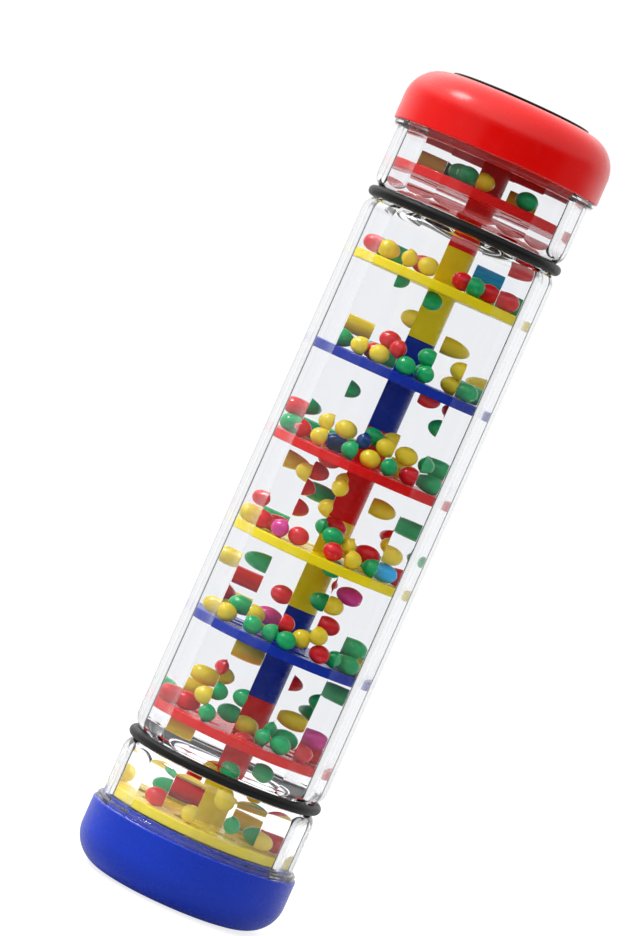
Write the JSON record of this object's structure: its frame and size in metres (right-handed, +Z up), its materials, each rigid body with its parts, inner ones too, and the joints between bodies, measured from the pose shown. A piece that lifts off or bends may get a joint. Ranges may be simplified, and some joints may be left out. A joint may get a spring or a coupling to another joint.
{
  "type": "rainstick",
  "caption": "Clear tube rainstick with coloured discs stacked on a central stem, loose round beads, rubber ring seals and domed end caps.",
  "frame": {"origin": "centre of the blue cap's flat end, which the stick stands on", "axes": "+Z up along the stick towards the red cap, -Y towards the front, +X to the right seen from the front"},
  "size_m": [0.0516, 0.0516, 0.2032],
  "materials": {
    "cap_blue": "smooth glossy moulded plastic",
    "cap_red": "smooth glossy moulded plastic",
    "pad_black": "matt black pad",
    "clear_housing": "water-clear moulded plastic, glossy",
    "ring_rubber": "black rubber, satin",
    "disc_yellow": "smooth satin plastic",
    "disc_red": "smooth satin plastic",
    "disc_blue": "smooth satin plastic",
    "bead_red": "polished round bead",
    "bead_yellow": "polished round bead",
    "bead_green": "polished round bead",
    "bead_blue": "polished round bead",
    "bead_navy": "polished round bead",
    "bead_pink": "polished round bead"
  },
  "bodies": {
    "stick": {"blue_cap": "cap_blue", "disc_1_yellow": "disc_yellow", "disc_2_red": "disc_red", "disc_3_blue": "disc_blue", "disc_4_yellow": "disc_yellow", "disc_5_red": "disc_red", "disc_6_blue": "disc_blue", "disc_7_yellow": "disc_yellow", "disc_8_red": "disc_red", "lower_collar": "clear_housing", "lower_ring_seal": "ring_rubber", "main_tube": "clear_housing", "red_cap": "cap_red", "red_cap_pad": "pad_black", "upper_collar": "clear_housing", "upper_ring_seal": "ring_rubber"},
    "resting_beads_1": {"resting_beads_1_green": "bead_green", "resting_beads_1_red": "bead_red", "resting_beads_1_yellow": "bead_yellow"},
    "falling_beads_1": {"falling_beads_1_green": "bead_green", "falling_beads_1_yellow": "bead_yellow"},
    "resting_beads_2": {"resting_beads_2_green": "bead_green", "resting_beads_2_pink": "bead_pink", "resting_beads_2_red": "bead_red", "resting_beads_2_yellow": "bead_yellow"},
    "falling_beads_2": {"falling_beads_2_green": "bead_green", "falling_beads_2_red": "bead_red", "falling_beads_2_yellow": "bead_yellow"},
    "resting_beads_3": {"resting_beads_3_green": "bead_green", "resting_beads_3_red": "bead_red", "resting_beads_3_yellow": "bead_yellow"},
    "falling_beads_3": {"falling_beads_3_green": "bead_green", "falling_beads_3_pink": "bead_pink", "falling_beads_3_red": "bead_red", "falling_beads_3_yellow": "bead_yellow"},
    "resting_beads_4": {"resting_beads_4_blue": "bead_blue", "resting_beads_4_green": "bead_green", "resting_beads_4_pink": "bead_pink", "resting_beads_4_red": "bead_red", "resting_beads_4_yellow": "bead_yellow"},
    "falling_beads_4": {"falling_beads_4_green": "bead_green", "falling_beads_4_red": "bead_red", "falling_beads_4_yellow": "bead_yellow"},
    "resting_beads_5": {"resting_beads_5_blue": "bead_navy", "resting_beads_5_green": "bead_green", "resting_beads_5_red": "bead_red", "resting_beads_5_yellow": "bead_yellow"},
    "falling_beads_5": {"falling_beads_5_green": "bead_green"},
    "resting_beads_6": {"resting_beads_6_green": "bead_green", "resting_beads_6_red": "bead_red", "resting_beads_6_yellow": "bead_yellow"},
    "falling_beads_6": {"falling_beads_6_green": "bead_green", "falling_beads_6_yellow": "bead_yellow"},
    "resting_beads_7": {"resting_beads_7_blue": "bead_blue", "resting_beads_7_green": "bead_green", "resting_beads_7_red": "bead_red", "resting_beads_7_yellow": "bead_yellow"},
    "falling_beads_7": {"falling_beads_7_red": "bead_red"},
    "resting_beads_8": {"resting_beads_8_green": "bead_green", "resting_beads_8_yellow": "bead_yellow"}
  },
  "joints": [
    {"name": "resting_beads_1_slide", "type": "slide", "parent": "stick", "child": "resting_beads_1", "axis": [0, 0, 1], "range_m": [0, 0.00626]},
    {"name": "falling_beads_1_slide", "type": "slide", "parent": "stick", "child": "falling_beads_1", "axis": [0, 0, 1], "range_m": [-0.0013, 0.00122]},
    {"name": "resting_beads_2_slide", "type": "slide", "parent": "stick", "child": "resting_beads_2", "axis": [0, 0, 1], "range_m": [0, 0.01252]},
    {"name": "falling_beads_2_slide", "type": "slide", "parent": "stick", "child": "falling_beads_2", "axis": [0, 0, 1], "range_m": [-0.0052, 0.00162]},
    {"name": "resting_beads_3_slide", "type": "slide", "parent": "stick", "child": "resting_beads_3", "axis": [0, 0, 1], "range_m": [0, 0.01232]},
    {"name": "falling_beads_3_slide", "type": "slide", "parent": "stick", "child": "falling_beads_3", "axis": [0, 0, 1], "range_m": [-0.0026, 0.00102]},
    {"name": "resting_beads_4_slide", "type": "slide", "parent": "stick", "child": "resting_beads_4", "axis": [0, 0, 1], "range_m": [0, 0.01192]},
    {"name": "falling_beads_4_slide", "type": "slide", "parent": "stick", "child": "falling_beads_4", "axis": [0, 0, 1], "range_m": [-0.00409, 0.00062]},
    {"name": "resting_beads_5_slide", "type": "slide", "parent": "stick", "child": "resting_beads_5", "axis": [0, 0, 1], "range_m": [0, 0.01072]},
    {"name": "falling_beads_5_slide", "type": "slide", "parent": "stick", "child": "falling_beads_5", "axis": [0, 0, 1], "range_m": [-0.00509, 0.00362]},
    {"name": "resting_beads_6_slide", "type": "slide", "parent": "stick", "child": "resting_beads_6", "axis": [0, 0, 1], "range_m": [0, 0.01232]},
    {"name": "falling_beads_6_slide", "type": "slide", "parent": "stick", "child": "falling_beads_6", "axis": [0, 0, 1], "range_m": [-0.0026, 0.00022]},
    {"name": "resting_beads_7_slide", "type": "slide", "parent": "stick", "child": "resting_beads_7", "axis": [0, 0, 1], "range_m": [0, 0.00686]},
    {"name": "falling_beads_7_slide", "type": "slide", "parent": "stick", "child": "falling_beads_7", "axis": [0, 0, 1], "range_m": [-0.0078, 0.00842]},
    {"name": "resting_beads_8_slide", "type": "slide", "parent": "stick", "child": "resting_beads_8", "axis": [0, 0, 1], "range_m": [0, 0.01637]}
  ]
}
